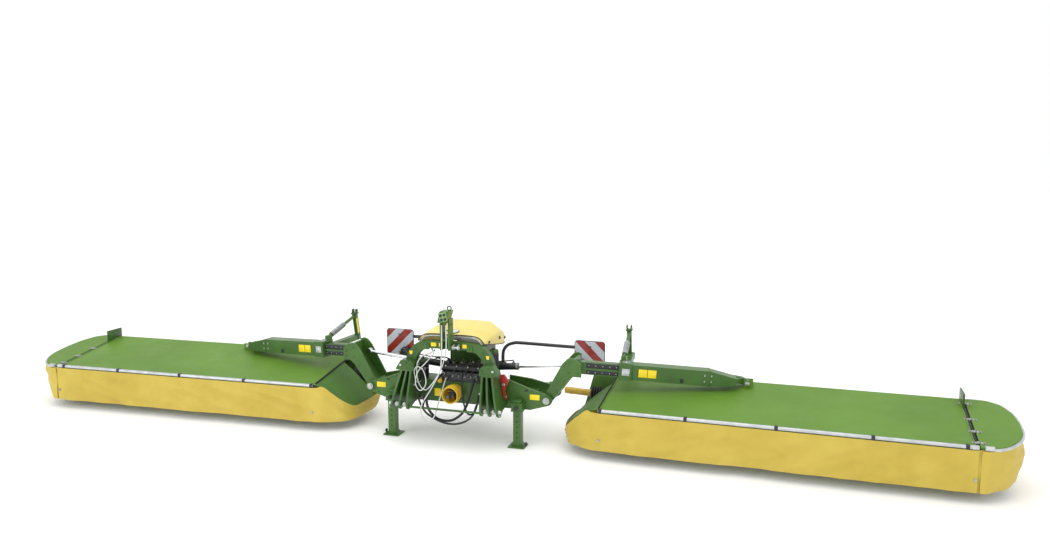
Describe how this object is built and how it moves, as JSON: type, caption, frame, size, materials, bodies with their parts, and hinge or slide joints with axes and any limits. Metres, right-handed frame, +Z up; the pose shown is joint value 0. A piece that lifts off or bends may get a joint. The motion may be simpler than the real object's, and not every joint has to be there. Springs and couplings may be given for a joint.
{
  "type": "rear-mounted butterfly disc mower with two folding side units",
  "caption": "Butterfly disc mower for a three-point hitch: two wide side units with covers and curtains on lifting telescopic booms, folding end guards and parking stands.",
  "frame": {"origin": "on the floor under the middle of the machine's footprint", "axes": "+X along the machine's width, +Y away from the tractor, +Z up"},
  "size_m": [10.4162, 1.5285, 1.437],
  "materials": {
    "frame_green": "satin dark green paint",
    "cover_green": "satin bright green paint",
    "curtain": "woven-core tarpaulin, matt",
    "hood_yellow": "moulded plastic, semi-gloss",
    "guard_yellow": "moulded plastic",
    "black": "black rubber and plastic",
    "black_paint": "black paint",
    "steel": "bare steel",
    "chrome": "polished",
    "board": "red and white striped film on sheet",
    "red": "red paint",
    "cable_grey": "grey sheath",
    "hose_black": "black rubber"
  },
  "bodies": {
    "frame": {"main_beam": "frame_green", "side_arm_right": "frame_green", "side_arm_left": "frame_green", "headstock": "frame_green", "hose_mast": "cover_green", "centre_housing": "frame_green", "hydraulic_block": "black_paint", "hood": "hood_yellow", "pto_guard": "guard_yellow", "board_carrier": "black_paint", "warning_board_right": "board", "warning_board_left": "board", "lock_bracket": "red", "hose_main": "hose_black", "hose_side": "hose_black", "cable_long": "cable_grey", "cable_loop": "cable_grey"},
    "pto": {"pto_shaft": "steel"},
    "stand_right": {"stand_right": "frame_green"},
    "boom_right": {"boom_link_right": "frame_green", "drive_shaft_right": "guard_yellow"},
    "outer_boom_right": {"outer_boom_right": "frame_green"},
    "mower_right": {"top_cover_right": "cover_green", "inner_guard_right": "cover_green", "skirt_right": "curtain", "cutterbar_right": "steel"},
    "end_right": {"end_guard_right": "cover_green", "end_curtain_right": "curtain"},
    "cylinder_right": {"lift_cylinder_right": "black_paint"},
    "rod_right": {"lift_rod_right": "chrome"},
    "disc_1_right": {"disc_1_right": "steel"},
    "disc_2_right": {"disc_2_right": "steel"},
    "disc_3_right": {"disc_3_right": "steel"},
    "disc_4_right": {"disc_4_right": "steel"},
    "disc_5_right": {"disc_5_right": "steel"},
    "disc_6_right": {"disc_6_right": "steel"},
    "disc_7_right": {"disc_7_right": "steel"},
    "disc_8_right": {"disc_8_right": "steel"},
    "stand_left": {"stand_left": "frame_green"},
    "boom_left": {"boom_link_left": "frame_green", "drive_shaft_left": "guard_yellow"},
    "outer_boom_left": {"outer_boom_left": "frame_green"},
    "mower_left": {"top_cover_left": "cover_green", "inner_guard_left": "cover_green", "skirt_left": "curtain", "cutterbar_left": "steel"},
    "end_left": {"end_guard_left": "cover_green", "end_curtain_left": "curtain"},
    "cylinder_left": {"lift_cylinder_left": "black_paint"},
    "rod_left": {"lift_rod_left": "chrome"},
    "disc_1_left": {"disc_1_left": "steel"},
    "disc_2_left": {"disc_2_left": "steel"},
    "disc_3_left": {"disc_3_left": "steel"},
    "disc_4_left": {"disc_4_left": "steel"},
    "disc_5_left": {"disc_5_left": "steel"},
    "disc_6_left": {"disc_6_left": "steel"},
    "disc_7_left": {"disc_7_left": "steel"},
    "disc_8_left": {"disc_8_left": "steel"}
  },
  "joints": [
    {"name": "pto_spin", "type": "hinge", "parent": "frame", "child": "pto", "pos_m": [0, -0.456, 0.497], "axis": [0, 1, 0], "continuous": true},
    {"name": "stand_raise_right", "type": "slide", "parent": "frame", "child": "stand_right", "axis": [0, 0, 1], "range_m": [0, 0.3]},
    {"name": "boom_lift_right", "type": "hinge", "parent": "frame", "child": "boom_right", "pos_m": [0.963, -0.216, 0.479], "axis": [0, -1, 0], "range_deg": [-4, 90]},
    {"name": "boom_slide_right", "type": "slide", "parent": "boom_right", "child": "outer_boom_right", "axis": [-0.9763, -0.2075, 0.061], "range_m": [0, 0.3]},
    {"name": "mower_tilt_right", "type": "hinge", "parent": "outer_boom_right", "child": "mower_right", "pos_m": [2.862, 0.231, 0.65], "axis": [0, -1, 0], "range_deg": [-3, 4]},
    {"name": "end_fold_right", "type": "hinge", "parent": "mower_right", "child": "end_right", "pos_m": [4.7937, -0.70316, 0.494], "axis": [-0.0279, -0.9899, -0.1386], "range_deg": [0, 90]},
    {"name": "cylinder_swing_right", "type": "hinge", "parent": "frame", "child": "cylinder_right", "pos_m": [0.06, -0.179, 0.7], "axis": [0, -1, 0], "range_deg": [-15, 1]},
    {"name": "rod_slide_right", "type": "slide", "parent": "cylinder_right", "child": "rod_right", "axis": [0.9959, 0, 0.0909], "range_m": [-0.445, 0.022]},
    {"name": "disc_1_spin_right", "type": "hinge", "parent": "mower_right", "child": "disc_1_right", "pos_m": [1.70829, -0.19589, 0.078], "axis": [0, 0, 1], "continuous": true},
    {"name": "disc_2_spin_right", "type": "hinge", "parent": "mower_right", "child": "disc_2_right", "pos_m": [2.13312, -0.20789, 0.078], "axis": [0, 0, 1], "continuous": true},
    {"name": "disc_3_spin_right", "type": "hinge", "parent": "mower_right", "child": "disc_3_right", "pos_m": [2.55795, -0.21988, 0.078], "axis": [0, 0, 1], "continuous": true},
    {"name": "disc_4_spin_right", "type": "hinge", "parent": "mower_right", "child": "disc_4_right", "pos_m": [2.98278, -0.23187, 0.078], "axis": [0, 0, 1], "continuous": true},
    {"name": "disc_5_spin_right", "type": "hinge", "parent": "mower_right", "child": "disc_5_right", "pos_m": [3.40761, -0.24386, 0.078], "axis": [0, 0, 1], "continuous": true},
    {"name": "disc_6_spin_right", "type": "hinge", "parent": "mower_right", "child": "disc_6_right", "pos_m": [3.83244, -0.25586, 0.078], "axis": [0, 0, 1], "continuous": true},
    {"name": "disc_7_spin_right", "type": "hinge", "parent": "mower_right", "child": "disc_7_right", "pos_m": [4.25727, -0.26785, 0.078], "axis": [0, 0, 1], "continuous": true},
    {"name": "disc_8_spin_right", "type": "hinge", "parent": "mower_right", "child": "disc_8_right", "pos_m": [4.6821, -0.27984, 0.078], "axis": [0, 0, 1], "continuous": true},
    {"name": "stand_raise_left", "type": "slide", "parent": "frame", "child": "stand_left", "axis": [0, 0, 1], "range_m": [0, 0.3]},
    {"name": "boom_lift_left", "type": "hinge", "parent": "frame", "child": "boom_left", "pos_m": [-0.963, -0.216, 0.479], "axis": [0, 1, 0], "range_deg": [-4, 90]},
    {"name": "boom_slide_left", "type": "slide", "parent": "boom_left", "child": "outer_boom_left", "axis": [0.9763, -0.2075, 0.061], "range_m": [0, 0.3]},
    {"name": "mower_tilt_left", "type": "hinge", "parent": "outer_boom_left", "child": "mower_left", "pos_m": [-2.862, 0.231, 0.65], "axis": [0, 1, 0], "range_deg": [-3, 4]},
    {"name": "end_fold_left", "type": "hinge", "parent": "mower_left", "child": "end_left", "pos_m": [-4.7937, -0.70316, 0.494], "axis": [-0.0279, 0.9899, 0.1386], "range_deg": [0, 90]},
    {"name": "cylinder_swing_left", "type": "hinge", "parent": "frame", "child": "cylinder_left", "pos_m": [-0.06, -0.179, 0.7], "axis": [0, 1, 0], "range_deg": [-15, 1]},
    {"name": "rod_slide_left", "type": "slide", "parent": "cylinder_left", "child": "rod_left", "axis": [-0.9959, 0, 0.0909], "range_m": [-0.445, 0.022]},
    {"name": "disc_1_spin_left", "type": "hinge", "parent": "mower_left", "child": "disc_1_left", "pos_m": [-1.70829, -0.19589, 0.078], "axis": [0, 0, 1], "continuous": true},
    {"name": "disc_2_spin_left", "type": "hinge", "parent": "mower_left", "child": "disc_2_left", "pos_m": [-2.13312, -0.20789, 0.078], "axis": [0, 0, 1], "continuous": true},
    {"name": "disc_3_spin_left", "type": "hinge", "parent": "mower_left", "child": "disc_3_left", "pos_m": [-2.55795, -0.21988, 0.078], "axis": [0, 0, 1], "continuous": true},
    {"name": "disc_4_spin_left", "type": "hinge", "parent": "mower_left", "child": "disc_4_left", "pos_m": [-2.98278, -0.23187, 0.078], "axis": [0, 0, 1], "continuous": true},
    {"name": "disc_5_spin_left", "type": "hinge", "parent": "mower_left", "child": "disc_5_left", "pos_m": [-3.40761, -0.24386, 0.078], "axis": [0, 0, 1], "continuous": true},
    {"name": "disc_6_spin_left", "type": "hinge", "parent": "mower_left", "child": "disc_6_left", "pos_m": [-3.83244, -0.25586, 0.078], "axis": [0, 0, 1], "continuous": true},
    {"name": "disc_7_spin_left", "type": "hinge", "parent": "mower_left", "child": "disc_7_left", "pos_m": [-4.25727, -0.26785, 0.078], "axis": [0, 0, 1], "continuous": true},
    {"name": "disc_8_spin_left", "type": "hinge", "parent": "mower_left", "child": "disc_8_left", "pos_m": [-4.6821, -0.27984, 0.078], "axis": [0, 0, 1], "continuous": true}
  ],
  "couplings": [
    {"joint": "cylinder_swing_right", "follows": "boom_lift_right", "ratio": -0.15886},
    {"joint": "rod_slide_right", "follows": "boom_lift_right", "m_per_rad": -0.27936},
    {"joint": "disc_2_spin_right", "follows": "disc_1_spin_right", "ratio": -1},
    {"joint": "disc_3_spin_right", "follows": "disc_1_spin_right", "ratio": 1},
    {"joint": "disc_4_spin_right", "follows": "disc_1_spin_right", "ratio": -1},
    {"joint": "disc_5_spin_right", "follows": "disc_1_spin_right", "ratio": 1},
    {"joint": "disc_6_spin_right", "follows": "disc_1_spin_right", "ratio": -1},
    {"joint": "disc_7_spin_right", "follows": "disc_1_spin_right", "ratio": 1},
    {"joint": "disc_8_spin_right", "follows": "disc_1_spin_right", "ratio": -1},
    {"joint": "cylinder_swing_left", "follows": "boom_lift_left", "ratio": -0.15886},
    {"joint": "rod_slide_left", "follows": "boom_lift_left", "m_per_rad": -0.27936},
    {"joint": "disc_2_spin_left", "follows": "disc_1_spin_left", "ratio": -1},
    {"joint": "disc_3_spin_left", "follows": "disc_1_spin_left", "ratio": 1},
    {"joint": "disc_4_spin_left", "follows": "disc_1_spin_left", "ratio": -1},
    {"joint": "disc_5_spin_left", "follows": "disc_1_spin_left", "ratio": 1},
    {"joint": "disc_6_spin_left", "follows": "disc_1_spin_left", "ratio": -1},
    {"joint": "disc_7_spin_left", "follows": "disc_1_spin_left", "ratio": 1},
    {"joint": "disc_8_spin_left", "follows": "disc_1_spin_left", "ratio": -1}
  ]
}
